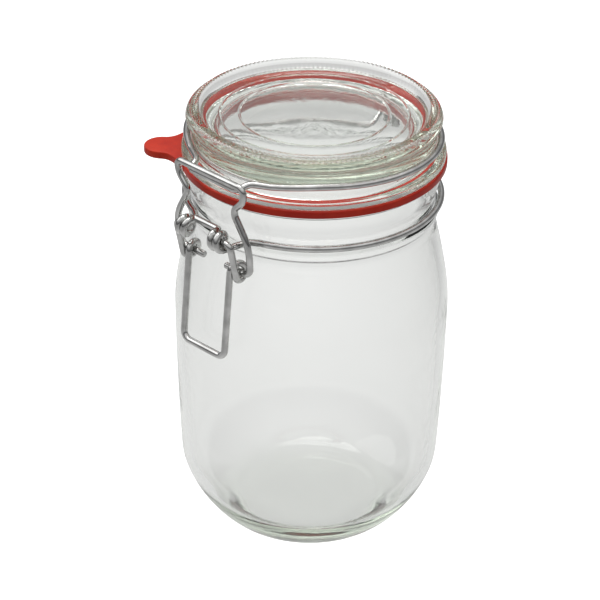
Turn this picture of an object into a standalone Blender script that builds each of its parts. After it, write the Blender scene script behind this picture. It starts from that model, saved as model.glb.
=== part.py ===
# Clip top preserving jar, empty and shut: a glass jar, a glass lid, a rubber ring and four bent wires.
# The origin is the centre of the base's underside, +Z is up and the clip faces -Y. Units are metres.
import math

import bmesh
import bpy
from mathutils import Quaternion, Vector

NAME = "clip_top_jar"

# Glass jar, outside
BASE_FLAT_RADIUS = 0.0295
CORNER_RADIUS = 0.0529
CORNER_HEIGHT = 0.0306
CORNER_POWER = 1.38
BODY_RADIUS = 0.0555
BODY_WIDEST_HEIGHT = 0.1031
BODY_BOW = 0.66
NECK_RADIUS = 0.0486
NECK_HEIGHT = 0.1392
SHOULDER_POWER = 1.33
NECK_BEAD_RADIUS = 0.0503
NECK_BEAD_LOW = 0.1423
NECK_BEAD_HIGH = 0.1441
WIRE_GROOVE_RADIUS = 0.0488
WIRE_GROOVE_LOW = 0.1458
WIRE_GROOVE_HIGH = 0.1504
FINISH_RADIUS = 0.0506
FINISH_LOW = 0.1545
RIM_OUTER_RADIUS = 0.0511
RIM_LIP_LOW = 0.1606
RIM_TOP = 0.1617
MOUTH_RADIUS = 0.0464
RIM_ROUND = 0.0009
# Glass jar, inside
WALL = 0.0036
FLOOR_HEIGHT = 0.0085
FLOOR_RADIUS = 0.0310
FLOOR_CORNER_TOP = 0.0330
FLOOR_CORNER_POWER = 1.2
INNER_NECK_TOP = 0.1432
MOUTH_LOW = 0.1525
INNER_SHOULDER_SHARES = (0.3, 0.6, 0.85)
# Glass lid, outside
LID_FLANGE_RADIUS = 0.0525
LID_UNDERSIDE = 0.1653
LID_FLANGE_TOP = 0.1683
LID_FLANGE_ROUND = 0.0006
LID_GROOVE_RADIUS = 0.0485
LID_GROOVE_LOW = 0.1714
LID_GROOVE_HIGH = 0.1778
LID_BEAD_RADIUS = 0.0509
LID_BEAD_LOW = 0.1804
LID_BEAD_HIGH = 0.1814
LID_SLOPE_FOOT = (0.0503, 0.1829)
LID_CREST_OUTER = (0.0473, 0.1853)
LID_CREST_INNER = (0.0462, 0.1852)
LID_RECESS_TOP = (0.0453, 0.1843)
# Glass lid, the recess above, the hollow below and the spigot between them
LID_RECESS_RADIUS = 0.0436
LID_DISC_CENTRE = 0.1826
LID_DISC_EDGE = 0.1814
LID_HOLLOW_TOP = 0.1733
LID_HOLLOW_DOME = 0.6000
LID_HOLLOW_RADIUS = 0.0368
LID_HOLLOW_FLARE = 0.0012
LID_HOLLOW_BEND_HEIGHT = 0.0024
SPIGOT_RADIUS = 0.0448
SPIGOT_FOOT_RADIUS = 0.0436
SPIGOT_FOOT_HEIGHT = 0.0030
SPIGOT_BOTTOM = 0.1606
# Rubber ring
SEAL_INNER_RADIUS = 0.0462
SEAL_OUTER_RADIUS = 0.0530
SEAL_LOW = 0.1620
SEAL_HIGH = 0.1650
SEAL_ROUND = 0.0005
TONGUE_ANGLE = math.radians(-139.5)
TONGUE_REACH = 0.0677
TONGUE_ROOT = 0.0480
TONGUE_TIP_HALF_WIDTH = 0.0073
TONGUE_ROOT_HALF_WIDTH = 0.0175
TONGUE_FLARE_POWER = 2.2
TONGUE_THICKNESS = 0.0028
# Wires
WIRE_RADIUS = 0.0014
COIL_RADIUS = 0.0032
COIL_PITCH = 0.0031
EYELET_TURNS = 1.5
HINGE_TURNS = 1.25
NECK_WIRE_RADIUS = 0.0510
NECK_WIRE_HEIGHT = 0.1482
NECK_WIRE_FRONT_HALF_WIDTH = 0.0185
NECK_WIRE_TUCK = 0.0010
LID_WIRE_RADIUS = 0.0503
LID_WIRE_HEIGHT = 0.1736
LID_WIRE_TILT = 0.0013
LID_WIRE_SAG = 0.0210
LID_WIRE_SAG_FROM = 0.6
# Clip in its closed place: distance in front of the jar's axis, and height
LEVER_PIVOT = (0.0603, 0.1503)
CLASP_PIVOT = (0.0537, 0.1362)
CLASP_BAR = (0.0566, 0.1743)
NOSE_BAR = (0.0547, 0.1713)
NOSE_NECK = (0.0496, 0.1730)
CLASP_DROP = (0.0560, 0.1688)
CLASP_PINCH = (0.0562, 0.1630)
CLASP_SHOULDER = (0.0552, 0.1495)
HANDLE_BOTTOM = (0.0600, 0.0993)
# Clip, half widths
NOSE_HALF_WIDTH = 0.0132
NOSE_NECK_HALF_WIDTH = 0.0146
NOSE_ROOT_HALF_WIDTH = 0.0220
CLASP_TOP_HALF_WIDTH = 0.0183
CLASP_DROP_HALF_WIDTH = 0.0181
CLASP_PINCH_HALF_WIDTH = 0.0122
CLASP_SHOULDER_HALF_WIDTH = 0.0203
CLASP_FOOT_HALF_WIDTH = 0.0196
CLASP_PIN_END = 0.0060
EYELET_OUTER = 0.0114
EYELET_LEAD_HALF_WIDTH = 0.0120
EYELET_LEAD_OUT = 0.0561
LEAD_HALF_WIDTH = 0.0150
FRONT_BAR_OUT = 0.0591
FRONT_BAR_HALF_WIDTH = 0.00455
CRANK_HALF_WIDTH = 0.0150
LEVER_PIN_END = 0.0070
HANDLE_HALF_WIDTH = 0.0116
# Clip, bend radii
BEND_RADIUS = 0.0035
CRANK_BEND = 0.0024
NOSE_BEND = 0.0030
CLASP_BENDS = (0.0, 0.0030, 0.0070, 0.0040, 0.0180, 0.0040, 0.0)
# Hinge at the back: distance behind the jar's axis, and height
HINGE_BAR = (0.0600, 0.1540)
HINGE_HALF_WIDTH = 0.0150
HINGE_FOOT_HALF_WIDTH = 0.0155
HINGE_ROOT_HALF_WIDTH = 0.0190
HINGE_COIL_INNER = 0.0062
HINGE_ARM_HALF_WIDTH = 0.0110
HINGE_ARM_OUT = 0.0515
HINGE_ARM_DROP = 0.0060
# Fineness
TURN_STEPS = 48
COIL_STEPS = 12
BEND_STEPS = 3
RING_STEPS = 20
MERGE = 0.00001

GLASS = ("jar_glass_clear", (0.90, 0.94, 0.92, 1.0), 0.03, 0.0, 0.95)
RUBBER = ("rubber_red", (0.62, 0.055, 0.03, 1.0), 0.55, 0.0, 0.0)
STEEL = ("wire_steel", (0.66, 0.66, 0.65, 1.0), 0.22, 1.0, 0.0)


def clear_scene():
    for item in list(bpy.data.objects):
        bpy.data.objects.remove(item, do_unlink=True)


def new_collection(name):
    group = bpy.data.collections.new(name)
    bpy.context.scene.collection.children.link(group)
    return group


def make_material(spec):
    name, colour, roughness, metallic, transmission = spec
    material = bpy.data.materials.get(name) or bpy.data.materials.new(name)
    material.use_nodes = True
    shader = material.node_tree.nodes["Principled BSDF"]
    shader.inputs["Base Color"].default_value = colour
    shader.inputs["Roughness"].default_value = roughness
    shader.inputs["Metallic"].default_value = metallic
    shader.inputs["Transmission Weight"].default_value = transmission
    return material


def add_object(name, data, group, spec):
    item = bpy.data.objects.new(name, data)
    group.objects.link(item)
    data.materials.append(make_material(spec))
    return item


def arc(centre, radius, start, end, steps):
    """Points on an arc in a plane, such as (radius from the axis, height); angles in degrees."""
    points = []
    for i in range(steps + 1):
        angle = math.radians(start + (end - start) * i / steps)
        points.append((centre[0] + radius * math.cos(angle), centre[1] + radius * math.sin(angle)))
    return points


def turned(name, profile, group, spec):
    """A profile of (radius, height) points, down the outer side, turned about the jar's axis."""
    mesh = bpy.data.meshes.new(name)
    edges = [(i, i + 1) for i in range(len(profile) - 1)]
    if profile[0][0] > 0.0:
        edges.append((len(profile) - 1, 0))
    mesh.from_pydata([(r, 0.0, z) for r, z in profile], edges, [])
    item = add_object(name, mesh, group, spec)
    screw = item.modifiers.new("turn", "SCREW")
    screw.steps = TURN_STEPS
    screw.render_steps = TURN_STEPS
    screw.use_merge_vertices = True
    screw.merge_threshold = MERGE
    screw.use_normal_calculate = False
    return item


def shoulder_radius(height):
    share = max(0.0, (height - BODY_WIDEST_HEIGHT) / (NECK_HEIGHT - BODY_WIDEST_HEIGHT))
    return BODY_RADIUS - (BODY_RADIUS - NECK_RADIUS) * share ** SHOULDER_POWER


def side_radius(height):
    share = (height - CORNER_HEIGHT) / (BODY_WIDEST_HEIGHT - CORNER_HEIGHT)
    bowed = share + BODY_BOW * share * (1.0 - share)
    return CORNER_RADIUS + (BODY_RADIUS - CORNER_RADIUS) * bowed


def corner_point(share, flat, wall, low, high, power):
    """A point of the round between the base and the side; share runs from 0 at the base to 1."""
    angle = share * math.pi / 2.0
    radius = flat + (wall - flat) * math.sin(angle) ** power
    return radius, low + (high - low) * (1.0 - math.cos(angle) ** power)


def body_profile():
    """The outside from the neck down to the base's flat."""
    points = []
    for i in range(7):
        height = NECK_HEIGHT + (BODY_WIDEST_HEIGHT - NECK_HEIGHT) * i / 6
        points.append((shoulder_radius(height), height))
    for i in range(1, 5):
        height = BODY_WIDEST_HEIGHT + (CORNER_HEIGHT - BODY_WIDEST_HEIGHT) * i / 5
        points.append((side_radius(height), height))
    for i in range(9):
        share = 1.0 - i / 8
        corner = corner_point(share, BASE_FLAT_RADIUS, CORNER_RADIUS, 0.0, CORNER_HEIGHT, CORNER_POWER)
        points.append(corner)
    return points


def jar_profile():
    rim = arc((RIM_OUTER_RADIUS - RIM_ROUND, RIM_TOP - RIM_ROUND), RIM_ROUND, 90, 0, 2)
    neck = [
        (FINISH_RADIUS, RIM_LIP_LOW),
        (FINISH_RADIUS, FINISH_LOW),
        (WIRE_GROOVE_RADIUS, WIRE_GROOVE_HIGH),
        (WIRE_GROOVE_RADIUS, WIRE_GROOVE_LOW),
        (NECK_BEAD_RADIUS, NECK_BEAD_HIGH),
        (NECK_BEAD_RADIUS, NECK_BEAD_LOW),
    ]
    outside = rim + neck + body_profile()
    inside = [(0.0, FLOOR_HEIGHT)]
    wall = side_radius(FLOOR_CORNER_TOP) - WALL
    low, high = FLOOR_HEIGHT, FLOOR_CORNER_TOP
    for i in range(6):
        inside.append(corner_point(i / 5, FLOOR_RADIUS, wall, low, high, FLOOR_CORNER_POWER))
    for i in range(1, 4):
        height = FLOOR_CORNER_TOP + (BODY_WIDEST_HEIGHT - FLOOR_CORNER_TOP) * i / 3
        inside.append((side_radius(height) - WALL, height))
    for share in INNER_SHOULDER_SHARES:
        height = BODY_WIDEST_HEIGHT + (NECK_HEIGHT - BODY_WIDEST_HEIGHT) * share
        inside.append((shoulder_radius(height) - WALL, height))
    inside += [(NECK_RADIUS - WALL, INNER_NECK_TOP), (MOUTH_RADIUS, MOUTH_LOW)]
    mouth = arc((MOUTH_RADIUS + RIM_ROUND, RIM_TOP - RIM_ROUND), RIM_ROUND, 180, 90, 2)
    return inside + mouth + outside + [(0.0, 0.0)]


def hollow_height(radius):
    """The hollow under the lid's disc is part of a large sphere."""
    return LID_HOLLOW_TOP - LID_HOLLOW_DOME + math.sqrt(LID_HOLLOW_DOME ** 2 - radius ** 2)


def lid_profile():
    top = [
        (0.0, LID_DISC_CENTRE),
        (LID_RECESS_RADIUS / 2.0, LID_DISC_CENTRE - (LID_DISC_CENTRE - LID_DISC_EDGE) / 4.0),
        (LID_RECESS_RADIUS, LID_DISC_EDGE),
        LID_RECESS_TOP,
        LID_CREST_INNER,
        LID_CREST_OUTER,
        LID_SLOPE_FOOT,
    ]
    side = [
        (LID_BEAD_RADIUS, LID_BEAD_HIGH),
        (LID_BEAD_RADIUS, LID_BEAD_LOW),
        (LID_GROOVE_RADIUS, LID_GROOVE_HIGH),
        (LID_GROOVE_RADIUS, LID_GROOVE_LOW),
        (LID_FLANGE_RADIUS - LID_FLANGE_ROUND, LID_FLANGE_TOP + LID_FLANGE_ROUND),
        (LID_FLANGE_RADIUS, LID_FLANGE_TOP),
        (LID_FLANGE_RADIUS, LID_UNDERSIDE + LID_FLANGE_ROUND),
        (LID_FLANGE_RADIUS - LID_FLANGE_ROUND, LID_UNDERSIDE),
    ]
    bend_height = hollow_height(LID_HOLLOW_RADIUS)
    under = [
        (SPIGOT_RADIUS, LID_UNDERSIDE),
        (SPIGOT_RADIUS, SPIGOT_BOTTOM + SPIGOT_FOOT_HEIGHT),
        (SPIGOT_FOOT_RADIUS, SPIGOT_BOTTOM),
        (LID_HOLLOW_RADIUS + 2.0 * LID_HOLLOW_FLARE, SPIGOT_BOTTOM),
        (LID_HOLLOW_RADIUS + LID_HOLLOW_FLARE, bend_height - LID_HOLLOW_BEND_HEIGHT),
        (LID_HOLLOW_RADIUS, bend_height),
        (LID_HOLLOW_RADIUS / 2.0, hollow_height(LID_HOLLOW_RADIUS / 2.0)),
        (0.0, LID_HOLLOW_TOP),
    ]
    return top + side + under


def seal_profile():
    r0, r1, z0, z1, b = SEAL_INNER_RADIUS, SEAL_OUTER_RADIUS, SEAL_LOW, SEAL_HIGH, SEAL_ROUND
    return [
        (r0 + b, z1), (r1 - b, z1), (r1, z1 - b), (r1, z0 + b),
        (r1 - b, z0), (r0 + b, z0), (r0, z0 + b), (r0, z1 - b),
    ]


def apply_modifiers(item):
    """Replaces an object's mesh with its evaluated one."""
    graph = bpy.context.evaluated_depsgraph_get()
    mesh = bpy.data.meshes.new_from_object(item.evaluated_get(graph))
    item.modifiers.clear()
    item.data = mesh


def mesh_of_curve(item, group):
    """A closed mesh object in the place of a curve object of the same name."""
    graph = bpy.context.evaluated_depsgraph_get()
    mesh = bpy.data.meshes.new_from_object(item.evaluated_get(graph))
    work = bmesh.new()
    work.from_mesh(mesh)
    bmesh.ops.remove_doubles(work, verts=work.verts, dist=MERGE)
    bmesh.ops.recalc_face_normals(work, faces=work.faces)
    work.to_mesh(mesh)
    work.free()
    name = item.name
    place = item.matrix_world.copy()
    bpy.data.objects.remove(item, do_unlink=True)
    solid = bpy.data.objects.new(name, mesh)
    solid.matrix_world = place
    group.objects.link(solid)
    return solid


def make_seal(group, cutters):
    """The flat rubber ring with its pull tongue, joined into one solid."""
    seal = turned("rubber_ring", seal_profile(), group, RUBBER)
    outline = bpy.data.curves.new("tongue_outline", "CURVE")
    outline.dimensions = "2D"
    outline.fill_mode = "BOTH"
    outline.extrude = TONGUE_THICKNESS / 2.0
    spline = outline.splines.new("POLY")
    tip = TONGUE_REACH - TONGUE_TIP_HALF_WIDTH
    edge = []
    for i in range(6):
        share = i / 5
        flare = (TONGUE_ROOT_HALF_WIDTH - TONGUE_TIP_HALF_WIDTH) * (1.0 - share) ** TONGUE_FLARE_POWER
        edge.append((TONGUE_ROOT + (tip - TONGUE_ROOT) * share, TONGUE_TIP_HALF_WIDTH + flare))
    nose = arc((tip, 0.0), TONGUE_TIP_HALF_WIDTH, 90, -90, 8)
    points = edge + nose[1:-1] + [(x, -y) for x, y in reversed(edge)]
    spline.points.add(len(points) - 1)
    for point, (x, y) in zip(spline.points, points):
        point.co = (x, y, 0.0, 1.0)
    spline.use_cyclic_u = True
    tongue = bpy.data.objects.new("tongue_outline", outline)
    cutters.objects.link(tongue)
    tongue.location = (0.0, 0.0, (SEAL_LOW + SEAL_HIGH) / 2.0)
    tongue.rotation_euler = (0.0, 0.0, TONGUE_ANGLE)
    bpy.context.view_layer.update()
    tongue = mesh_of_curve(tongue, cutters)
    tongue.hide_render = True
    tongue.display_type = "WIRE"
    join = seal.modifiers.new("tongue", "BOOLEAN")
    join.operation = "UNION"
    join.object = tongue
    apply_modifiers(seal)
    bpy.data.objects.remove(tongue, do_unlink=True)
    return seal


def rounded(points, radii, closed=False):
    """A path through the points whose corners are arcs of the given bend radii."""
    path = []
    count = len(points)
    for i, point in enumerate(points):
        corner = Vector(point)
        if not closed and i in (0, count - 1):
            path.append(corner)
            continue
        back = Vector(points[i - 1]) - corner
        ahead = Vector(points[(i + 1) % count]) - corner
        bend = math.pi - back.angle(ahead)
        if bend < 0.02 or radii[i] <= 0.0:
            path.append(corner)
            continue
        reach = radii[i] * math.tan(bend / 2.0)
        reach = min(reach, 0.49 * back.length, 0.49 * ahead.length)
        radius = reach / math.tan(bend / 2.0)
        start = corner + back.normalized() * reach
        inward = (back.normalized() + ahead.normalized()).normalized()
        centre = corner + inward * radius / math.cos(bend / 2.0)
        first = start - centre
        second = corner + ahead.normalized() * reach - centre
        steps = max(2, round(BEND_STEPS * bend / (math.pi / 2.0)))
        axis = first.cross(second)
        for k in range(steps + 1):
            path.append(centre + Quaternion(axis, bend * k / steps) @ first)
    return path


def coil(centre, start, turns, x_start, x_end, front):
    """A helix about an axis along X; start in degrees from outward, negative turns run clockwise."""
    steps = round(abs(turns) * COIL_STEPS)
    path = []
    for i in range(steps + 1):
        angle = math.radians(start + 360.0 * turns * i / steps)
        out = centre[0] + COIL_RADIUS * math.cos(angle)
        x = x_start + (x_end - x_start) * i / steps
        path.append(Vector((x, out * front, centre[1] + COIL_RADIUS * math.sin(angle))))
    return path


def ring_path(radius, x_front, x_back, height_at):
    """Half of a wire ring on the +X side, from the front to the back; angles are from the front."""
    start = math.asin(x_front / radius)
    end = math.pi - math.asin(x_back / radius)
    path = []
    for i in range(RING_STEPS + 1):
        angle = start + (end - start) * i / RING_STEPS
        path.append(Vector((radius * math.sin(angle), -radius * math.cos(angle), height_at(angle))))
    return path


def lid_wire_height(angle):
    """The ring leans a little towards the front and dips where the nose pulls on it."""
    dip = LID_WIRE_SAG * max(0.0, math.cos(angle) - LID_WIRE_SAG_FROM) ** 2
    return LID_WIRE_HEIGHT + LID_WIRE_TILT * math.cos(angle) - dip


def mirrored(path):
    return [Vector((-p.x, p.y, p.z)) for p in reversed(path)]


def wire(name, path, closed, group):
    """A round wire along a path, as one closed mesh."""
    curve = bpy.data.curves.new(name + "_path", "CURVE")
    curve.dimensions = "3D"
    curve.bevel_depth = WIRE_RADIUS
    curve.bevel_resolution = 2
    curve.use_fill_caps = True
    spline = curve.splines.new("POLY")
    spline.points.add(len(path) - 1)
    for point, place in zip(spline.points, path):
        point.co = (place.x, place.y, place.z, 1.0)
    spline.use_cyclic_u = closed
    item = bpy.data.objects.new(name, curve)
    group.objects.link(item)
    bpy.context.view_layer.update()
    solid = mesh_of_curve(item, group)
    solid.data.materials.append(make_material(STEEL))
    return solid


def make_neck_wire(group):
    """The wire round the jar's neck, with two eyelets in front and the hinge bar behind."""
    out, up = LEVER_PIVOT
    back, high = HINGE_BAR
    tuck = NECK_WIRE_RADIUS - NECK_WIRE_TUCK
    bar_height = up + COIL_RADIUS
    bar = [
        Vector((0.0, -FRONT_BAR_OUT, bar_height)),
        Vector((FRONT_BAR_HALF_WIDTH, -FRONT_BAR_OUT, bar_height)),
    ]
    x_end = EYELET_OUTER - EYELET_TURNS * COIL_PITCH
    eyelet = coil(LEVER_PIVOT, -90.0, EYELET_TURNS, EYELET_OUTER, x_end, -1.0)[::-1]
    ring = ring_path(NECK_WIRE_RADIUS, NECK_WIRE_FRONT_HALF_WIDTH, HINGE_ROOT_HALF_WIDTH,
                     lambda angle: NECK_WIRE_HEIGHT)
    lead = rounded([
        eyelet[-1],
        Vector((EYELET_LEAD_HALF_WIDTH, -EYELET_LEAD_OUT, up - COIL_RADIUS)),
        Vector((LEAD_HALF_WIDTH, -tuck, NECK_WIRE_HEIGHT)),
        ring[0],
    ], [0.0, BEND_RADIUS, BEND_RADIUS, 0.0])
    hinge = rounded([
        ring[-1],
        Vector((HINGE_FOOT_HALF_WIDTH, tuck, NECK_WIRE_HEIGHT)),
        Vector((HINGE_HALF_WIDTH, back, high)),
        Vector((0.0, back, high)),
    ], [0.0, BEND_RADIUS, BEND_RADIUS, 0.0])
    half = bar + eyelet + lead[1:-1] + ring + hinge[1:]
    return wire("neck_wire", half + mirrored(half)[1:-1], True, group)


def make_lid_wire(group):
    """The wire round the lid's groove, with its nose in front and two hinge loops behind."""
    ring = ring_path(LID_WIRE_RADIUS, NOSE_ROOT_HALF_WIDTH, HINGE_ARM_HALF_WIDTH, lid_wire_height)
    nose = rounded([
        Vector((0.0, -NOSE_BAR[0], NOSE_BAR[1])),
        Vector((NOSE_HALF_WIDTH, -NOSE_BAR[0], NOSE_BAR[1])),
        Vector((NOSE_NECK_HALF_WIDTH, -NOSE_NECK[0], NOSE_NECK[1])),
        ring[0],
    ], [0.0, NOSE_BEND, BEND_RADIUS, 0.0])
    back, high = HINGE_BAR
    start = HINGE_COIL_INNER + HINGE_TURNS * COIL_PITCH
    loop = coil(HINGE_BAR, 180.0, HINGE_TURNS, start, HINGE_COIL_INNER, 1.0)
    arm_height = ring[-1].z
    arm = rounded([
        ring[-1],
        Vector((start, HINGE_ARM_OUT, arm_height)),
        Vector((start, back - COIL_RADIUS, arm_height - HINGE_ARM_DROP)),
        loop[0],
    ], [0.0, BEND_RADIUS, 2.0 * BEND_RADIUS, 0.0])
    half = nose[:-1] + ring + arm[1:-1] + loop
    return wire("lid_wire", mirrored(half)[:-1] + half, False, group)


def make_clasp(group):
    """The wire hook that pulls the lid wire's nose down."""
    corners = [
        (0.0, CLASP_BAR),
        (CLASP_TOP_HALF_WIDTH, CLASP_BAR),
        (CLASP_DROP_HALF_WIDTH, CLASP_DROP),
        (CLASP_PINCH_HALF_WIDTH, CLASP_PINCH),
        (CLASP_SHOULDER_HALF_WIDTH, CLASP_SHOULDER),
        (CLASP_FOOT_HALF_WIDTH, CLASP_PIVOT),
        (CLASP_PIN_END, CLASP_PIVOT),
    ]
    half = rounded([Vector((x, -out, up)) for x, (out, up) in corners], CLASP_BENDS)
    return wire("clasp", mirrored(half)[:-1] + half, False, group)


def make_lever(group):
    """The handle wire: pins in the neck wire's eyelets, cranks, loops round the clasp's pins, handle."""
    loop = coil(CLASP_PIVOT, 0.0, -1.0, CRANK_HALF_WIDTH, HANDLE_HALF_WIDTH, -1.0)
    crank = rounded([
        Vector((LEVER_PIN_END, -LEVER_PIVOT[0], LEVER_PIVOT[1])),
        Vector((CRANK_HALF_WIDTH, -LEVER_PIVOT[0], LEVER_PIVOT[1])),
        loop[0],
    ], [0.0, CRANK_BEND, 0.0])
    handle = rounded([
        loop[-1],
        Vector((HANDLE_HALF_WIDTH, -HANDLE_BOTTOM[0], HANDLE_BOTTOM[1])),
        Vector((0.0, -HANDLE_BOTTOM[0], HANDLE_BOTTOM[1])),
    ], [0.0, BEND_RADIUS, 0.0])
    half = crank[:-1] + loop + handle[1:]
    return wire("lever", half + mirrored(half)[1:], False, group)


def smooth_shade(item):
    item.data.shade_smooth()
    item.data.set_sharp_from_angle(angle=math.radians(35.0))


def main():
    clear_scene()
    group = new_collection(NAME)
    cutters = new_collection(NAME + "_cutters")
    glass = [
        turned("jar_glass", jar_profile(), group, GLASS),
        turned("lid_glass", lid_profile(), group, GLASS),
    ]
    for item in glass:
        apply_modifiers(item)
    seal = make_seal(group, cutters)
    wires = [make_neck_wire(group), make_lid_wire(group), make_clasp(group), make_lever(group)]
    for item in glass + [seal] + wires:
        smooth_shade(item)
    bpy.data.collections.remove(cutters)


main()
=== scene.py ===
import math

import bmesh
import bpy
from mathutils import Matrix, Quaternion, Vector


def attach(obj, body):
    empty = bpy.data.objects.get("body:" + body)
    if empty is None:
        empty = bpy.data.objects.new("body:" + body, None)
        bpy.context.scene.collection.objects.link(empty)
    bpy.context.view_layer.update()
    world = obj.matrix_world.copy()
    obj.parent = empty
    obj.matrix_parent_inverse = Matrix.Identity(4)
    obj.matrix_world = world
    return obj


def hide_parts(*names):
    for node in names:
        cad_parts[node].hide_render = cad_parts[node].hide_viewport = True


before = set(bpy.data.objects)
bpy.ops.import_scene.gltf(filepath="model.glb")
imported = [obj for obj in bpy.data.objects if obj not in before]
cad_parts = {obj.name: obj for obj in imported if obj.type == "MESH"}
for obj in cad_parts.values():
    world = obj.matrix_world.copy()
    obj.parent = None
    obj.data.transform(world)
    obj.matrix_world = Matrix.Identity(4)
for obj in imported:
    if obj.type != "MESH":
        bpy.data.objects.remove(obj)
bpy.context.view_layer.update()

mm = 0.001
mergeGap = 0.002 * mm
fullTurn = 2.0 * math.pi
print("frame loaded:", ", ".join(sorted(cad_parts)))


# paths and profiles

def bentPath(points, radii, quarterSteps=8):
    path = []                                     # a polyline with each corner turned into an arc
    last = len(points) - 1
    for i, point in enumerate(points):
        corner = Vector(point)
        if i in (0, last) or radii[i] <= 0.0:
            path.append(corner)
            continue
        back = Vector(points[i - 1]) - corner
        ahead = Vector(points[i + 1]) - corner
        bend = math.pi - back.angle(ahead)
        if bend < 0.02:
            path.append(corner)
            continue
        reach = min(radii[i] * math.tan(bend / 2.0), 0.49 * back.length, 0.49 * ahead.length)
        radius = reach / math.tan(bend / 2.0)
        start = corner + back.normalized() * reach
        middle = (back.normalized() + ahead.normalized()).normalized()
        centre = corner + middle * radius / math.cos(bend / 2.0)
        first = start - centre
        axis = first.cross(corner + ahead.normalized() * reach - centre)
        steps = max(2, round(quarterSteps * bend / (math.pi / 2.0)))
        for k in range(steps + 1):
            path.append(centre + Quaternion(axis, bend * k / steps) @ first)
    return path


def bentProfile(corners, quarterSteps=4):
    points = [(r, 0.0, z) for r, z, bend in corners]
    path = bentPath(points, [bend for r, z, bend in corners], quarterSteps)
    return [(p.x, p.z) for p in path]


def evened(points, passes):
    for _ in range(passes):                       # takes the kinks out of a row of (radius, height) points
        middle = [tuple((a + 2.0 * b + c) / 4.0 for a, b, c in zip(*three))
                  for three in zip(points, points[1:], points[2:])]
        points = [points[0]] + middle + [points[-1]]
    return points


def finishMesh(bm, name, sharpAngle):
    bmesh.ops.remove_doubles(bm, verts=bm.verts, dist=mergeGap)
    bmesh.ops.recalc_face_normals(bm, faces=bm.faces)
    mesh = bpy.data.meshes.new(name)
    bm.to_mesh(mesh)
    bm.free()
    mesh.shade_smooth()
    mesh.set_sharp_from_angle(angle=math.radians(sharpAngle))
    piece = bpy.data.objects.new(name, mesh)
    bpy.context.scene.collection.objects.link(piece)
    return piece


def spunMesh(profile, steps):
    bm = bmesh.new()                              # profile in mm, turned about the jar's axis
    verts = [bm.verts.new((r * mm, 0.0, z * mm)) for r, z in profile]
    edges = [bm.edges.new(pair) for pair in zip(verts, verts[1:])]
    bmesh.ops.spin(bm, geom=verts + edges, cent=(0, 0, 0), axis=(0, 0, 1), dvec=(0, 0, 0),
                   angle=fullTurn, steps=steps, use_merge=True, use_duplicate=False)
    return bm


# shader groups and materials

def newGroup(name, inputs, outputs):
    group = bpy.data.node_groups.new(name, "ShaderNodeTree")
    for label, kind, value in inputs:
        socket = group.interface.new_socket(name=label, in_out="INPUT", socket_type=kind)
        if value is not None:
            socket.default_value = value
    for label, kind in outputs:
        group.interface.new_socket(name=label, in_out="OUTPUT", socket_type=kind)
    return group, group.nodes.new("NodeGroupInput"), group.nodes.new("NodeGroupOutput")


def noiseNode(tree, vector, scale, detail, roughness=0.5):
    noise = tree.nodes.new("ShaderNodeTexNoise")
    noise.inputs["Detail"].default_value = detail
    noise.inputs["Roughness"].default_value = roughness
    if isinstance(scale, (int, float)):
        noise.inputs["Scale"].default_value = scale
    else:
        tree.links.new(scale, noise.inputs["Scale"])
    tree.links.new(vector, noise.inputs["Vector"])
    return noise.outputs["Fac"]


def rangeNode(tree, value, low, high, fromLow=0.0, fromHigh=1.0):
    span = tree.nodes.new("ShaderNodeMapRange")
    span.inputs["From Min"].default_value = fromLow
    span.inputs["From Max"].default_value = fromHigh
    for socket, amount in (("To Min", low), ("To Max", high)):
        if isinstance(amount, (int, float)):
            span.inputs[socket].default_value = amount
        else:
            tree.links.new(amount, span.inputs[socket])
    tree.links.new(value, span.inputs["Value"])
    return span.outputs["Result"]


def buildHandledGroup():
    # smudges and handling: an uneven roughness, and a mask for the colour
    group, inside, outside = newGroup("handledSurface", [
        ("Vector", "NodeSocketVector", None),
        ("Patch Scale", "NodeSocketFloat", 60.0),
        ("Low Roughness", "NodeSocketFloat", 0.1),
        ("High Roughness", "NodeSocketFloat", 0.2),
    ], [("Mask", "NodeSocketFloat"), ("Roughness", "NodeSocketFloat")])
    patches = noiseNode(group, inside.outputs["Vector"], inside.outputs["Patch Scale"], 4.0, 0.6)
    mask = rangeNode(group, patches, 0.0, 1.0, 0.35, 0.65)
    rough = rangeNode(group, mask, inside.outputs["Low Roughness"], inside.outputs["High Roughness"])
    group.links.new(mask, outside.inputs["Mask"])
    group.links.new(rough, outside.inputs["Roughness"])
    return group


def buildGrainGroup():
    # a fine grain over a broad unevenness, as a height
    group, inside, outside = newGroup("surfaceGrain", [
        ("Vector", "NodeSocketVector", None),
        ("Broad Scale", "NodeSocketFloat", 30.0),
        ("Fine Scale", "NodeSocketFloat", 900.0),
        ("Fine Share", "NodeSocketFloat", 0.3),
    ], [("Height", "NodeSocketFloat")])
    broad = noiseNode(group, inside.outputs["Vector"], inside.outputs["Broad Scale"], 2.0)
    fine = noiseNode(group, inside.outputs["Vector"], inside.outputs["Fine Scale"], 3.0, 0.6)
    mix = group.nodes.new("ShaderNodeMix")
    group.links.new(inside.outputs["Fine Share"], mix.inputs["Factor"])
    group.links.new(broad, mix.inputs["A"])
    group.links.new(fine, mix.inputs["B"])
    group.links.new(mix.outputs["Result"], outside.inputs["Height"])
    return group


handledGroup = buildHandledGroup()
grainGroup = buildGrainGroup()


def placedGroup(tree, group, vector, values):
    node = tree.nodes.new("ShaderNodeGroup")
    node.node_tree = group
    tree.links.new(vector, node.inputs["Vector"])
    for label, value in values.items():
        node.inputs[label].default_value = value
    return node


def newMaterial(name):
    material = bpy.data.materials.new(name)
    material.use_nodes = True
    tree = material.node_tree
    shader = tree.nodes["Principled BSDF"]
    place = tree.nodes.new("ShaderNodeTexCoord").outputs["Object"]
    return material, tree, shader, place


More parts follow.
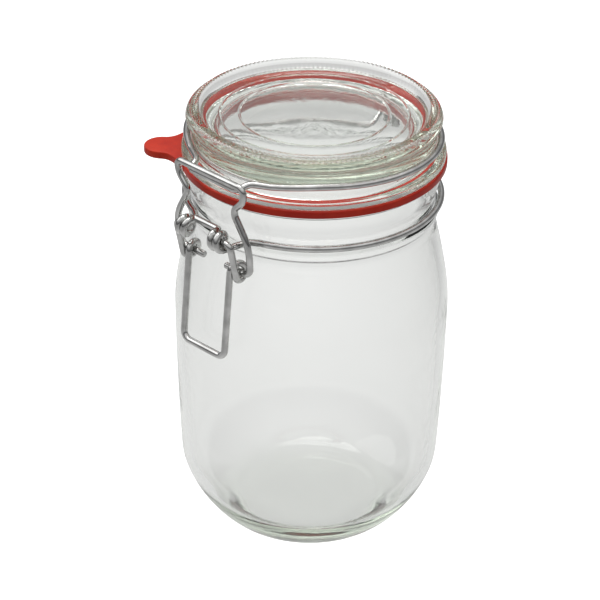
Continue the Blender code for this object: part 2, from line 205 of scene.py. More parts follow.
def bumpInto(tree, shader, height, strength, distance):
    bump = tree.nodes.new("ShaderNodeBump")
    bump.inputs["Strength"].default_value = strength
    bump.inputs["Distance"].default_value = distance
    tree.links.new(height, bump.inputs["Height"])
    tree.links.new(bump.outputs["Normal"], shader.inputs["Normal"])
    return bump


def handledInto(tree, shader, place, values, colour, worn):
    handled = placedGroup(tree, handledGroup, place, values)
    mix = tree.nodes.new("ShaderNodeMix")
    mix.data_type = "RGBA"
    mix.inputs["A"].default_value = colour
    mix.inputs["B"].default_value = worn
    tree.links.new(handled.outputs["Mask"], mix.inputs["Factor"])
    tree.links.new(mix.outputs["Result"], shader.inputs["Base Color"])
    tree.links.new(handled.outputs["Roughness"], shader.inputs["Roughness"])


glassLook = {
    "tint": (0.990, 0.991, 0.989, 1.0),
    "ior": 1.5,
    "wave": {"Broad Scale": 38.0, "Fine Scale": 260.0, "Fine Share": 0.12},
    "waveDepth": 0.35 * mm,
    "handled": {"Patch Scale": 45.0, "Low Roughness": 0.0, "High Roughness": 0.012},
    "shadowTint": (0.94, 0.94, 0.94, 1.0),
    "absorbColour": (0.66, 0.80, 0.58, 1.0),
    "absorbDensity": 8.0,
    "waveStrength": 0.5,
    "marks": {"Scale": 380.0, "Distortion": 0.6, "Detail": 1.0},
    "marksStrength": 0.10, "marksDepth": 0.02 * mm,
}


def glassMaterial(name, turned):
    material, tree, shader, place = newMaterial(name)
    shader.inputs["Base Color"].default_value = glassLook["tint"]
    shader.inputs["IOR"].default_value = glassLook["ior"]
    shader.inputs["Transmission Weight"].default_value = 1.0
    handled = placedGroup(tree, handledGroup, place, glassLook["handled"])
    tree.links.new(handled.outputs["Roughness"], shader.inputs["Roughness"])
    grain = placedGroup(tree, grainGroup, place, glassLook["wave"])
    bump = bumpInto(tree, shader, grain.outputs["Height"], glassLook["waveStrength"], glassLook["waveDepth"])
    if turned:
        rings = tree.nodes.new("ShaderNodeTexWave")       # fine turned marks of the lid's mould
        rings.wave_type = "RINGS"
        rings.rings_direction = "Z"
        for label, value in glassLook["marks"].items():
            rings.inputs[label].default_value = value
        tree.links.new(place, rings.inputs["Vector"])
        marks = bumpInto(tree, shader, rings.outputs["Fac"], glassLook["marksStrength"], glassLook["marksDepth"])
        tree.links.new(bump.outputs["Normal"], marks.inputs["Normal"])
    volume = tree.nodes.new("ShaderNodeVolumeAbsorption")
    volume.inputs["Color"].default_value = glassLook["absorbColour"]
    volume.inputs["Density"].default_value = glassLook["absorbDensity"]
    finish = tree.nodes["Material Output"]
    tree.links.new(volume.outputs["Volume"], finish.inputs["Volume"])
    seen = tree.nodes.new("ShaderNodeLightPath")          # soft light passes straight through the glass
    soft = tree.nodes.new("ShaderNodeMath")
    soft.operation = "MAXIMUM"
    tree.links.new(seen.outputs["Is Shadow Ray"], soft.inputs[0])
    tree.links.new(seen.outputs["Is Diffuse Ray"], soft.inputs[1])
    clear = tree.nodes.new("ShaderNodeBsdfTransparent")
    clear.inputs["Color"].default_value = glassLook["shadowTint"]
    mix = tree.nodes.new("ShaderNodeMixShader")
    tree.links.new(soft.outputs["Value"], mix.inputs["Fac"])
    tree.links.new(shader.outputs["BSDF"], mix.inputs[1])
    tree.links.new(clear.outputs["BSDF"], mix.inputs[2])
    tree.links.new(mix.outputs["Shader"], finish.inputs["Surface"])
    return material


rubberLook = {
    "deep": (0.38, 0.013, 0.004, 1.0),
    "bright": (0.50, 0.030, 0.010, 1.0),
    "handled": {"Patch Scale": 70.0, "Low Roughness": 0.32, "High Roughness": 0.50},
    "grain": {"Broad Scale": 120.0, "Fine Scale": 1600.0, "Fine Share": 0.5},
    "grainStrength": 0.6, "grainDepth": 0.05 * mm,
    "shine": 0.22,
}


def rubberMaterial():
    material, tree, shader, place = newMaterial("redRubber")
    handledInto(tree, shader, place, rubberLook["handled"], rubberLook["deep"], rubberLook["bright"])
    shader.inputs["Specular IOR Level"].default_value = rubberLook["shine"]
    grain = placedGroup(tree, grainGroup, place, rubberLook["grain"])
    bumpInto(tree, shader, grain.outputs["Height"], rubberLook["grainStrength"], rubberLook["grainDepth"])
    return material


wireLook = {
    "bright": (0.66, 0.66, 0.65, 1.0),
    "dull": (0.46, 0.46, 0.45, 1.0),
    "handled": {"Patch Scale": 150.0, "Low Roughness": 0.05, "High Roughness": 0.14},
    "drawn": {"Broad Scale": 500.0, "Fine Scale": 2600.0, "Fine Share": 0.5},
    "drawnStretch": (0.02, 1.0, 1.0),              # long thin die marks, along the wire
    "drawnStrength": 0.5, "drawnDepth": 0.02 * mm,
}


def wireMaterial():
    material, tree, shader, place = newMaterial("drawnWire")
    shader.inputs["Metallic"].default_value = 1.0
    handledInto(tree, shader, place, wireLook["handled"], wireLook["bright"], wireLook["dull"])
    along = tree.nodes.new("ShaderNodeAttribute")
    along.attribute_name = "wirePlace"
    stretch = tree.nodes.new("ShaderNodeMapping")
    stretch.inputs["Scale"].default_value = wireLook["drawnStretch"]
    tree.links.new(along.outputs["Vector"], stretch.inputs["Vector"])
    grain = placedGroup(tree, grainGroup, stretch.outputs["Vector"], wireLook["drawn"])
    bumpInto(tree, shader, grain.outputs["Height"], wireLook["drawnStrength"], wireLook["drawnDepth"])
    return material


jarGlass = glassMaterial("jarGlass", False)
lidGlass = glassMaterial("lidGlass", True)
redRubber = rubberMaterial()
drawnWire = wireMaterial()
print("materials made")


def dress(piece, material, body, node):
    piece.data.materials.append(material)
    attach(piece, body)
    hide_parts(node)


# the jar

jarSizes = {
    "baseFlat": 29.5, "cornerWall": 52.9, "cornerHeight": 30.6, "cornerPower": 1.38,
    "belly": 55.5, "bellyHeight": 103.1, "bow": 0.66,
    "neck": 48.6, "neckHeight": 139.2, "shoulderPower": 1.33,
    "wall": 3.6, "floor": 8.5, "floorFlat": 31.0, "floorCornerTop": 33.0, "floorPower": 1.2,
    "rimTop": 161.9, "rimOuter": 51.1, "mouth": 46.4, "rimRound": 0.9, "finishLow": 155.0,
    "floorRows": (0.0, 15.0, 24.0), "baseRows": (20.0, 0.0),
    "rise": 2.0, "cornerSteps": 26, "floorSteps": 22, "sharp": 50.0, "steps": 200,
    "insideNeck": [(45.1, 142.0), (45.3, 145.0), (46.1, 149.5), (46.4, 152.5)],
    "finish": [                                   # radius, height and rounding, from under the rim to the shoulder
        (51.1, 161.0, 0.3), (50.6, 160.4, 0.4), (50.6, 156.5, 14.0),
        (48.8, 150.4, 5.0), (48.8, 145.6, 1.6),   # the wire's groove
        (50.3, 144.3, 0.9), (50.3, 142.3, 0.9),   # the bead under it
        (49.3, 141.2, 0.9), (49.1, 139.6, 0.0),
    ],
}


def sideRadius(height):
    s = jarSizes
    if height > s["bellyHeight"]:
        share = (height - s["bellyHeight"]) / (s["neckHeight"] - s["bellyHeight"])
        return s["belly"] - (s["belly"] - s["neck"]) * share ** s["shoulderPower"]
    share = (height - s["cornerHeight"]) / (s["bellyHeight"] - s["cornerHeight"])
    return s["cornerWall"] + (s["belly"] - s["cornerWall"]) * (share + s["bow"] * share * (1.0 - share))


def cornerPoints(flat, wall, low, high, power, count):
    points = []
    for i in range(count + 1):
        angle = i / count * math.pi / 2.0
        points.append((flat + (wall - flat) * math.sin(angle) ** power,
                       low + (high - low) * (1.0 - math.cos(angle) ** power)))
    return points


def jarProfile():
    s = jarSizes
    innerWall = sideRadius(s["floorCornerTop"]) - s["wall"]
    inside = [(radius, s["floor"]) for radius in s["floorRows"]]
    inside += cornerPoints(s["floorFlat"], innerWall, s["floor"], s["floorCornerTop"],
                           s["floorPower"], s["floorSteps"])
    height = s["floorCornerTop"] + s["rise"]
    while height < s["neckHeight"]:
        inside.append((sideRadius(height) - s["wall"], height))
        height += s["rise"]
    inside = evened(inside + s["insideNeck"], 6)
    finish = bentProfile([
        (s["mouth"], s["finishLow"], 0.0),
        (s["mouth"], s["rimTop"], s["rimRound"]),
        (s["rimOuter"], s["rimTop"], s["rimRound"]),
    ] + s["finish"])
    outside = []
    height = s["neckHeight"] - 1.0
    while height > s["cornerHeight"]:
        outside.append((sideRadius(height), height))
        height -= s["rise"]
    corner = cornerPoints(s["baseFlat"], s["cornerWall"], 0.0, s["cornerHeight"],
                          s["cornerPower"], s["cornerSteps"])
    outside = evened(outside + corner[::-1], 8)
    return inside + finish + outside + [(radius, 0.0) for radius in s["baseRows"]]


def buildJar():
    bm = spunMesh(jarProfile(), jarSizes["steps"])
    piece = finishMesh(bm, "jarBody", jarSizes["sharp"])
    dress(piece, jarGlass, "jar", "jar_glass")
    return piece


jarBody = buildJar()
print("jar made:", len(jarBody.data.polygons), "faces")


# the lid

lidSizes = {
    "crest": 47.1, "top": 185.3, "slopeFoot": 50.3, "slopeLow": 182.9, "bead": 50.9, "beadHeight": 181.4,
    "discCentre": 182.3, "discEdge": 181.3, "recess": 43.6,
    "domeTop": 170.5, "domeRadius": 600.0, "hollow": 38.0,
    "groove": 48.5, "grooveLow": 171.4, "grooveHigh": 178.4, "flange": 52.5, "flangeTop": 168.3,
    "underside": 165.3, "spigot": 44.8, "spigotFoot": 43.6, "bottom": 161.7,
    "circles": (29.6, 37.4), "circleWidth": 0.55, "circleHeight": 0.25,
    "teeth": 150, "stepsPerTooth": 4, "toothDepth": 1.0, "toothRows": 6,
    "teethFrom": -0.9, "teethTo": 2.2, "toothFade": 0.5, "sharp": 50.0,
    "discRows": [6.0, 12.0, 18.0, 24.0, 33.5, 41.0], "domeRows": 12,
}


def discHeight(radius):
    s = lidSizes
    return s["discCentre"] - (s["discCentre"] - s["discEdge"]) * (radius / s["recess"]) ** 2


def domeHeight(radius):
    s = lidSizes                                  # the hollow under the disc is part of a sphere
    return s["domeTop"] - s["domeRadius"] + math.sqrt(s["domeRadius"] ** 2 - radius ** 2)


def lidProfile():
    s = lidSizes
    marks = sorted(s["discRows"] + list(s["circles"]))
    corners = [(0.0, s["discCentre"], 0.0)]
    for radius in marks:
        if radius not in s["circles"]:
            corners.append((radius, discHeight(radius), 40.0))
            continue
        inner, outer = radius - s["circleWidth"], radius + s["circleWidth"]
        corners += [(inner, discHeight(inner), 0.3), (radius, discHeight(radius) + s["circleHeight"], 0.35),
                    (outer, discHeight(outer), 0.3)]
    corners += [
        (s["recess"], s["discEdge"], 1.6),
        (s["recess"] + 1.7, s["top"] - 1.0, 1.6),
        (s["crest"] - 0.9, s["top"] - 0.05, 0.7),
        (s["crest"] + 0.2, s["top"], 0.5),
    ]
    for i in range(1, s["toothRows"]):            # enough rows for the teeth
        share = i / s["toothRows"]
        corners.append((s["crest"] + 0.2 + (s["slopeFoot"] - s["crest"] - 0.2) * share,
                        s["top"] + (s["slopeLow"] - s["top"]) * share, 0.0))
    corners += [
        (s["slopeFoot"], s["slopeLow"], 0.8),
        (s["bead"], s["beadHeight"], 1.0),
        (s["bead"] - 0.4, s["grooveHigh"] + 2.0, 0.9),
        (s["groove"] + 0.4, s["grooveHigh"] + 0.6, 0.9),
        (s["groove"], s["grooveHigh"] - 0.8, 1.6),
        (s["groove"], s["grooveLow"], 1.8),
        (s["flange"] - 0.6, s["flangeTop"] + 0.5, 0.9),
        (s["flange"], s["flangeTop"] - 0.4, 0.6),
        (s["flange"], s["underside"], 0.6),
        (s["spigot"], s["underside"], 0.5),
        (s["spigot"], s["bottom"] + 3.0, 1.5),
        (s["spigotFoot"], s["bottom"], 0.8),
        (s["hollow"] + 2.0, s["bottom"], 1.0),
        (s["hollow"] + 1.2, domeHeight(s["hollow"]) - 2.4, 1.5),
    ]
    for i in range(s["domeRows"]):
        radius = s["hollow"] * (1.0 - i / s["domeRows"])
        corners.append((radius, domeHeight(radius), 20.0 if i else 1.2))
    corners.append((0.0, s["domeTop"], 0.0))
    return bentProfile(corners)


def cutTeeth(bm):
    s = lidSizes                                  # a row of small notches along the bead's slope
    slope = Vector((s["slopeFoot"] - s["crest"], s["slopeLow"] - s["top"])).normalized()
    inward = Vector((slope.y, -slope.x))
    for vert in bm.verts:
        radius = vert.co.xy.length / mm
        height = vert.co.z / mm
        along = (Vector((radius, height)) - Vector((s["crest"], s["top"]))).dot(slope)
        if height < s["slopeLow"] - 0.9 or not s["teethFrom"] < along < s["teethTo"]:
            continue
        turn = math.atan2(vert.co.y, vert.co.x) * s["teeth"] / fullTurn
        notch = 1.0 - abs(2.0 * (turn % 1.0) - 1.0)              # 0 on a tooth's crest, 1 in the notch
        edge = min(1.0, (along - s["teethFrom"]) / s["toothFade"], (s["teethTo"] - along) / s["toothFade"])
        depth = s["toothDepth"] * notch * edge
        vert.co.xy *= 1.0 + inward.x * depth / radius
        vert.co.z += inward.y * depth * mm


def buildLid():
    s = lidSizes
    bm = spunMesh(lidProfile(), s["teeth"] * s["stepsPerTooth"])
    cutTeeth(bm)
    piece = finishMesh(bm, "lidBody", s["sharp"])
    dress(piece, lidGlass, "lid", "lid_glass")
    return piece


lidBody = buildLid()
print("lid made:", len(lidBody.data.polygons), "faces")


# the rubber ring

ringSizes = {
    "inner": 45.0, "outer": 53.0, "low": 162.0, "high": 165.15, "edge": 0.6, "sharp": 60.0,
    "lip": 165.33, "lipOuter": 50.3, "lipFade": 0.6, "tongueRoot": 51.0, "tonguePower": 2.2, "tongueGap": 0.8,
    "tongueAngle": -139.5, "reach": 67.7, "tipHalf": 7.3, "rootHalf": 17.5,
    "ringPoints": 300, "sidePoints": 22, "tipPoints": 24,
}


def ringOutline():
    s = ringSizes
    tip = s["reach"] - s["tipHalf"]
    side = []
    for i in range(s["sidePoints"]):
        share = i / (s["sidePoints"] - 1)
        along = s["tongueRoot"] + (tip - s["tongueRoot"]) * share
        across = s["tipHalf"] + (s["rootHalf"] - s["tipHalf"]) * (1.0 - share) ** s["tonguePower"]
        if math.hypot(along, across) > s["outer"]:
            side.append((along, across))
    nose = []
    for i in range(1, s["tipPoints"]):
        angle = math.pi / 2.0 - math.pi * i / s["tipPoints"]
        nose.append((tip + s["tipHalf"] * math.cos(angle), s["tipHalf"] * math.sin(angle)))
    tongue = side + nose + [(x, -y) for x, y in reversed(side)]
    start = math.atan2(tongue[-1][1], tongue[-1][0]) - math.radians(s["tongueGap"])
    end = math.atan2(tongue[0][1], tongue[0][0]) - fullTurn + math.radians(s["tongueGap"])
    around = []
    for i in range(s["ringPoints"] + 1):
        angle = start + (end - start) * i / s["ringPoints"]
        around.append((s["outer"] * math.cos(angle), s["outer"] * math.sin(angle)))
    return tongue + around


def buildRing():
    s = ringSizes
    outline = ringOutline()
    bm = bmesh.new()
    loops = []
    for radius in (s["inner"], s["outer"]):
        made = bmesh.ops.create_circle(bm, cap_ends=False, radius=radius * mm, segments=len(outline))
        loops.append(made["verts"])
    for inner, outer, (x, y) in zip(*loops, outline):
        away = math.hypot(x, y)
        inner.co = Vector((x / away * s["inner"], y / away * s["inner"], s["high"])) * mm
        outer.co = Vector((x, y, s["high"])) * mm
    bmesh.ops.bridge_loops(bm, edges=list(bm.edges))
    made = bmesh.ops.extrude_face_region(bm, geom=list(bm.faces))["geom"]
    lower = [g for g in made if isinstance(g, bmesh.types.BMVert)]
    bmesh.ops.translate(bm, vec=(0, 0, (s["low"] - s["high"]) * mm), verts=lower)
    bmesh.ops.recalc_face_normals(bm, faces=bm.faces)
    rims = [e for e in bm.edges if e.calc_face_angle(0.0) > math.radians(s["sharp"])]
    bmesh.ops.bevel(bm, geom=rims, offset=s["edge"] * mm, offset_type="OFFSET", segments=4, profile=0.5,
                    affect="EDGES", material=-1, clamp_overlap=True)
    turn = Matrix.Rotation(math.radians(s["tongueAngle"]), 3, "Z")
    bmesh.ops.rotate(bm, cent=(0, 0, 0), matrix=turn, verts=bm.verts)
    for vert in bm.verts:                         # pressed up against the lid round its inner edge
        if vert.co.z > (s["high"] - 0.05) * mm:
            away = vert.co.xy.length / mm
            share = min(1.0, max(0.0, (s["lipOuter"] + s["lipFade"] - away) / s["lipFade"]))
            vert.co.z += (s["lip"] - s["high"]) * share * mm
    piece = finishMesh(bm, "sealRing", s["sharp"])
    dress(piece, redRubber, "jar", "rubber_ring")
    return piece


sealRing = buildRing()
print("ring made:", len(sealRing.data.polygons), "faces")


# the wires

wireSizes = {
    "radius": 1.4, "sides": 16, "coil": 3.18, "pitch": 3.1, "coilSteps": 32,
    "endRound": 0.35, "leastStep": 0.12, "sharp": 60.0,
}
clipPlaces = {                                    # distance in front of the jar's axis, and height
    "leverPivot": (60.3, 150.3), "claspPivot": (53.7, 136.2), "claspBar": (56.6, 174.3),
    "claspPinch": (56.2, 163.0), "claspShoulder": (55.2, 149.5), "noseBar": (54.7, 171.3),
    "handleBottom": (60.0, 99.3), "hingeBar": (60.0, 154.0),
}


def coilPath(centre, start, turns, xStart, xEnd, front):
    steps = round(abs(turns) * wireSizes["coilSteps"])
    path = []
    for i in range(steps + 1):
        angle = math.radians(start + 360.0 * turns * i / steps)
        out = centre[0] + wireSizes["coil"] * math.cos(angle)
        up = centre[1] + wireSizes["coil"] * math.sin(angle)
        path.append(Vector((xStart + (xEnd - xStart) * i / steps, out * front, up)))
    return path


def hoopPath(radius, xFront, xBack, steps, heightAt):
    start = math.asin(xFront / radius)
    end = math.pi - math.asin(xBack / radius)
    path = []
    for i in range(steps + 1):
        angle = start + (end - start) * i / steps
        path.append(Vector((radius * math.sin(angle), -radius * math.cos(angle), heightAt(angle))))
    return path


def otherSide(path):
    return [Vector((-p.x, p.y, p.z)) for p in reversed(path)]


def thinned(path):
    kept = [path[0]]                              # drops points that nearly coincide
    for point in path[1:]:
        if (point - kept[-1]).length > wireSizes["leastStep"]:
            kept.append(point)
    return kept


def wirePiece(name, path, closed, body, node):
    s = wireSizes
    path = thinned(path)
    if closed and (path[0] - path[-1]).length < s["leastStep"]:
        path.pop()
    count = len(path)
    tangents = []
    for i in range(count):
        before = path[i - 1] if closed or i > 0 else path[i]
        after = path[(i + 1) % count] if closed or i < count - 1 else path[i]
        tangents.append((after - before).normalized())
    bm = bmesh.new()
    placeLayer = bm.verts.layers.float_vector.new("wirePlace")
    side = tangents[0].orthogonal().normalized()
    frames = []
    for i in range(count):                        # the section keeps its turn from one frame to the next
        if i:
            side = tangents[i - 1].rotation_difference(tangents[i]) @ side
            side = (side - tangents[i] * side.dot(tangents[i])).normalized()
        up = tangents[i].cross(side)
        spot = path[i] * mm
        turned = Matrix((side, up, tangents[i])).transposed()
        frames.append(Matrix.LocRotScale(spot, turned, None))
    first = bmesh.ops.create_circle(bm, cap_ends=False, radius=s["radius"] * mm, segments=s["sides"],
                                    matrix=frames[0])
    rings = [(first["verts"], list(bm.edges))]
    for i in range(1, count):
        made = bmesh.ops.extrude_edge_only(bm, edges=rings[-1][1])["geom"]
        verts = [g for g in made if isinstance(g, bmesh.types.BMVert)]
        edges = [g for g in made if isinstance(g, bmesh.types.BMEdge) and all(v in verts for v in g.verts)]
        bmesh.ops.transform(bm, matrix=frames[i] @ frames[i - 1].inverted(), verts=verts)
        rings.append((verts, edges))
    travelled = 0.0
    for i, (verts, edges) in enumerate(rings):
        if i:
            travelled += (path[i] - path[i - 1]).length * mm
        back = frames[i].inverted()
        for vert in verts:
            local = back @ vert.co
            vert[placeLayer] = (travelled, local.x, local.y)
    if closed:
        bmesh.ops.bridge_loops(bm, edges=rings[0][1] + rings[-1][1])
    else:
        for verts, edges in (rings[0], rings[-1]):
            bmesh.ops.contextual_create(bm, geom=edges)
        bmesh.ops.bevel(bm, geom=rings[0][1] + rings[-1][1], offset=s["endRound"] * mm, offset_type="OFFSET",
                        segments=3, profile=0.5, affect="EDGES", material=-1, clamp_overlap=True)
    piece = finishMesh(bm, name, s["sharp"])
    dress(piece, drawnWire, body, node)
    print(name, "made:", len(piece.data.polygons), "faces")


neckSizes = {
    "radius": 51.0, "height": 148.2, "eyeletOuter": 11.4, "frontHalf": 18.5, "barBack": 2.2, "barBend": 2.0,
    "leadBack": 4.2, "leadHalf": 15.0, "leadOut": 0.6, "hingeHalf": 15.0, "hingeRoot": 19.0,
    "inward": 1.0, "bend": 3.5,
}


def buildNeckWire():
    s, coil, pitch = neckSizes, wireSizes["coil"], wireSizes["pitch"]
    out, up = clipPlaces["leverPivot"]
    back, high = clipPlaces["hingeBar"]
    xEnd = s["eyeletOuter"] - 1.5 * pitch
    eyelet = coilPath(clipPlaces["leverPivot"], -90.0, 1.5, s["eyeletOuter"], xEnd, -1.0)[::-1]
    bar = bentPath([
        (0.0, s["barBack"] - out, up + coil), (xEnd, s["barBack"] - out, up + coil), eyelet[0], eyelet[1],
    ], [0.0, s["barBend"], 0.0, 0.0])[:-2]
    hoop = hoopPath(s["radius"], s["frontHalf"], s["hingeRoot"], 76, lambda angle: s["height"])
    lead = bentPath([
        eyelet[-1], (s["eyeletOuter"] + s["leadOut"], s["leadBack"] - out, up - coil),
        (s["leadHalf"], s["inward"] - s["radius"], s["height"]), hoop[0],
    ], [0.0, s["bend"], s["bend"], 0.0])
    hinge = bentPath([
        hoop[-1], (s["hingeHalf"] + 0.5, s["radius"] - s["inward"], s["height"]),
        (s["hingeHalf"], back, high), (0.0, back, high),
    ], [0.0, s["bend"], s["bend"], 0.0])
    half = bar + eyelet + lead[1:-1] + hoop + hinge[1:]
    wirePiece("neckWire", half + otherSide(half)[1:-1], True, "jar", "neck_wire")


lidWireSizes = {
    "radius": 50.3, "height": 173.6, "tilt": 1.3, "sag": 21.0, "sagFrom": 0.6,
    "noseHalf": 13.2, "noseNeckHalf": 14.6, "noseNeck": (49.6, 173.0), "noseRoot": 22.0,
    "coilInner": 6.2, "backHalf": 11.0, "bend": 3.5,
}


def lidWireHeight(angle):
    s = lidWireSizes                              # leans to the front, and dips where the nose pulls on it
    return s["height"] + s["tilt"] * math.cos(angle) - s["sag"] * max(0.0, math.cos(angle) - s["sagFrom"]) ** 2


def buildLidWire():
    s, coil, pitch = lidWireSizes, wireSizes["coil"], wireSizes["pitch"]
    out, up = clipPlaces["noseBar"]
    back, high = clipPlaces["hingeBar"]
    hoop = hoopPath(s["radius"], s["noseRoot"], s["backHalf"], 80, lidWireHeight)
    nose = bentPath([
        (0.0, -out, up), (s["noseHalf"], -out, up),
        (s["noseNeckHalf"], -s["noseNeck"][0], s["noseNeck"][1]), hoop[0],
    ], [0.0, 3.0, 5.0, 0.0], 12)
    start = s["coilInner"] + 1.25 * pitch
    loop = coilPath(clipPlaces["hingeBar"], 180.0, 1.25, start, s["coilInner"], 1.0)
    arm = bentPath([
        hoop[-1], (start + 0.6, s["radius"] + 1.2, hoop[-1].z),
        (start, back - coil, hoop[-1].z - 6.0), loop[0],
    ], [0.0, s["bend"], 6.0, 0.0])
    half = nose[:-1] + hoop + arm[1:-1] + loop
    wirePiece("lidWire", otherSide(half)[:-1] + half, False, "lid", "lid_wire")


claspSizes = {"topHalf": 18.3, "pinchHalf": 12.2, "shoulderHalf": 20.3, "footHalf": 19.6, "pinEnd": 6.0}


def buildClasp():
    s, c = claspSizes, clipPlaces
    half = bentPath([
        (0.0, -c["claspBar"][0], c["claspBar"][1]),
        (s["topHalf"], -c["claspBar"][0], c["claspBar"][1]),
        (s["topHalf"] - 0.2, -(c["claspBar"][0] - 0.6), c["claspBar"][1] - 5.5),
        (s["pinchHalf"], -c["claspPinch"][0], c["claspPinch"][1]),
        (s["shoulderHalf"], -c["claspShoulder"][0], c["claspShoulder"][1]),
        (s["footHalf"], -c["claspPivot"][0], c["claspPivot"][1]),
        (s["pinEnd"], -c["claspPivot"][0], c["claspPivot"][1]),
    ], [0.0, 3.0, 7.0, 4.0, 18.0, 4.0, 0.0], 12)
    wirePiece("claspWire", otherSide(half)[:-1] + half, False, "clasp", "clasp")


leverSizes = {"pinEnd": 7.0, "crankHalf": 15.0, "handleHalf": 11.6, "bend": 3.5}


def buildLever():
    s, c = leverSizes, clipPlaces
    loop = coilPath(c["claspPivot"], 0.0, -1.0, s["crankHalf"], s["handleHalf"], -1.0)
    crank = bentPath([
        (s["pinEnd"], -c["leverPivot"][0], c["leverPivot"][1]),
        (s["crankHalf"], -c["leverPivot"][0], c["leverPivot"][1]),
        loop[0],
    ], [0.0, 2.4, 0.0], 12)
    handle = bentPath([
        loop[-1], (s["handleHalf"], -c["handleBottom"][0], c["handleBottom"][1]),
        (0.0, -c["handleBottom"][0], c["handleBottom"][1]),
    ], [0.0, s["bend"], 0.0], 12)
    half = crank[:-1] + loop + handle[1:]
    wirePiece("leverWire", half + otherSide(half)[1:], False, "lever", "lever")


buildNeckWire()
buildLidWire()
buildClasp()
buildLever()


# stage, light and camera

stageLook = {
    "floorHalf": 4.0, "floorDrop": 0.2 * mm, "floor": (0.30, 0.30, 0.30, 1.0), "floorRoughness": 0.7,
    "seenGlow": 1.05, "dimGlow": 0.10, "poolGlow": 0.54,
    "poolAim": (-0.14, 0.14, 0.0), "poolTurn": 44.5, "poolAcross": 0.30, "poolAlong": 0.62,
}


def buildFloor():
    s = stageLook
    bm = bmesh.new()
    bmesh.ops.create_grid(bm, x_segments=2, y_segments=2, size=s["floorHalf"])
    mesh = bpy.data.meshes.new("floor")
    bm.to_mesh(mesh)
    bm.free()
    floor = bpy.data.objects.new("floor", mesh)
    floor.location.z = -s["floorDrop"]
    bpy.context.scene.collection.objects.link(floor)
    material, tree, shader, place = newMaterial("paleFloor")
    shader.inputs["Base Color"].default_value = s["floor"]
    shader.inputs["Roughness"].default_value = s["floorRoughness"]
    shader.inputs["Emission Color"].default_value = (1.0, 1.0, 1.0, 1.0)
    lay = tree.nodes.new("ShaderNodeMapping")             # a pool of light on the floor, behind the jar
    lay.vector_type = "TEXTURE"
    lay.inputs["Location"].default_value = s["poolAim"]
    lay.inputs["Rotation"].default_value = (0.0, 0.0, math.radians(s["poolTurn"]))
    lay.inputs["Scale"].default_value = (s["poolAcross"], s["poolAlong"], 1.0)
    tree.links.new(place, lay.inputs["Vector"])
    pool = tree.nodes.new("ShaderNodeTexGradient")
    pool.gradient_type = "SPHERICAL"
    tree.links.new(lay.outputs["Vector"], pool.inputs["Vector"])
    glow = rangeNode(tree, pool.outputs["Fac"], s["dimGlow"], s["poolGlow"])
    seen = tree.nodes.new("ShaderNodeLightPath")          # the backdrop itself is exposed to white
    mix = tree.nodes.new("ShaderNodeMix")
    mix.inputs["B"].default_value = s["seenGlow"]
    tree.links.new(seen.outputs["Is Camera Ray"], mix.inputs["Factor"])
    tree.links.new(glow, mix.inputs["A"])
    tree.links.new(mix.outputs["Result"], shader.inputs["Emission Strength"])
    mesh.materials.append(material)


lights = [                                        # name, place in metres, size, watts
    ("softTop", (-0.3, 0.1, 1.4), 1.0, 9.0),
    ("softLeft", (-1.1, -0.5, 1.0), 1.2, 4.0),
]


lightAim = (0.0, 0.0, 0.08)


def buildLights():
    for name, spot, size, power in lights:
        light = bpy.data.lights.new(name, "AREA")
        light.shape = "DISK"
        light.size = size
        light.energy = power
        lamp = bpy.data.objects.new(name, light)
        lamp.location = spot
        lamp.rotation_euler = (Vector(lightAim) - Vector(spot)).to_track_quat("-Z", "Y").to_euler()
        bpy.context.scene.collection.objects.link(lamp)


skyLook = {
    "horizon": (0.10, 0.10, 0.10, 1.0), "low": (0.27, 0.27, 0.275, 1.0), "high": (0.95, 0.95, 0.95, 1.0),
    "lowEdge": 0.30, "highEdge": 0.75, "strength": 1.0,
}


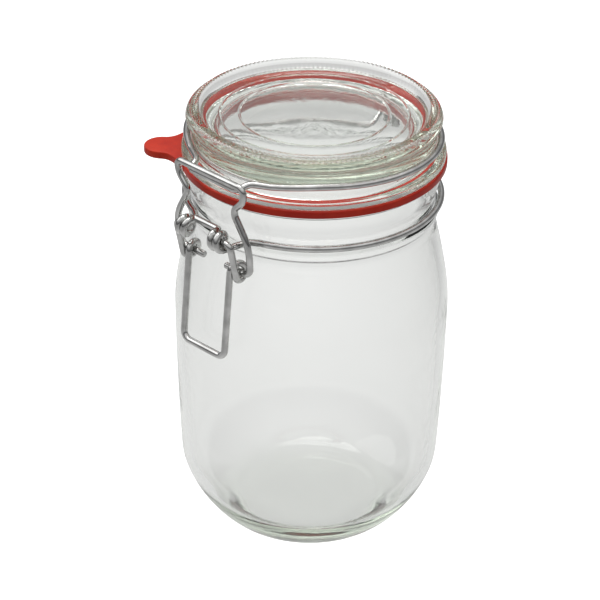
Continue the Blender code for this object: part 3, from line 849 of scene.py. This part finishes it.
def buildWorld():
    world = bpy.data.worlds.new("softStudio")
    bpy.context.scene.world = world
    world.use_nodes = True
    tree = world.node_tree
    ramp = tree.nodes.new("ShaderNodeValToRGB")
    ramp.color_ramp.elements[0].position = 0.0
    ramp.color_ramp.elements[0].color = skyLook["horizon"]
    ramp.color_ramp.elements[1].position = skyLook["highEdge"]
    ramp.color_ramp.elements[1].color = skyLook["high"]
    middle = ramp.color_ramp.elements.new(skyLook["lowEdge"])
    middle.color = skyLook["low"]
    split = tree.nodes.new("ShaderNodeSeparateXYZ")
    way = tree.nodes.new("ShaderNodeTexCoord").outputs["Generated"]
    tree.links.new(way, split.inputs["Vector"])
    tree.links.new(split.outputs["Z"], ramp.inputs["Fac"])
    back = tree.nodes["Background"]
    back.inputs["Strength"].default_value = skyLook["strength"]
    tree.links.new(ramp.outputs["Color"], back.inputs["Color"])


cameraLook = {
    "azimuth": 44.5, "elevation": 28.82, "distance": 1200.0, "aimHeight": 97.9,
    "focalPixels": 2949.1, "picture": 600.0, "axisRight": 11.4, "roll": 0.95, "sensor": 36.0,
}


def buildCamera():
    s = cameraLook
    azimuth, elevation = math.radians(s["azimuth"]), math.radians(s["elevation"])
    data = bpy.data.cameras.new("photoCamera")
    data.sensor_width = s["sensor"]
    data.lens = s["focalPixels"] * s["sensor"] / s["picture"]
    data.shift_x = -s["axisRight"] / s["picture"]
    data.clip_start, data.clip_end = 0.05, 20.0
    camera = bpy.data.objects.new("photoCamera", data)
    across = math.cos(elevation)
    away = Vector((math.sin(azimuth) * across, -math.cos(azimuth) * across, math.sin(elevation)))
    camera.location = (Vector((0, 0, s["aimHeight"])) + away * s["distance"]) * mm
    look = (-away).to_track_quat("-Z", "Y") @ Quaternion((0, 0, 1), math.radians(s["roll"]))
    camera.rotation_mode = "QUATERNION"
    camera.rotation_quaternion = look
    bpy.context.scene.collection.objects.link(camera)
    bpy.context.scene.camera = camera


buildFloor()
buildLights()
buildWorld()
buildCamera()
bpy.context.scene.view_settings.view_transform = "Standard"
cycles = bpy.context.scene.cycles
cycles.max_bounces = 24                           # light is reflected many times inside the lid's thick glass
cycles.glossy_bounces = 16
cycles.transmission_bounces = 20
print("stage, lights and camera made")
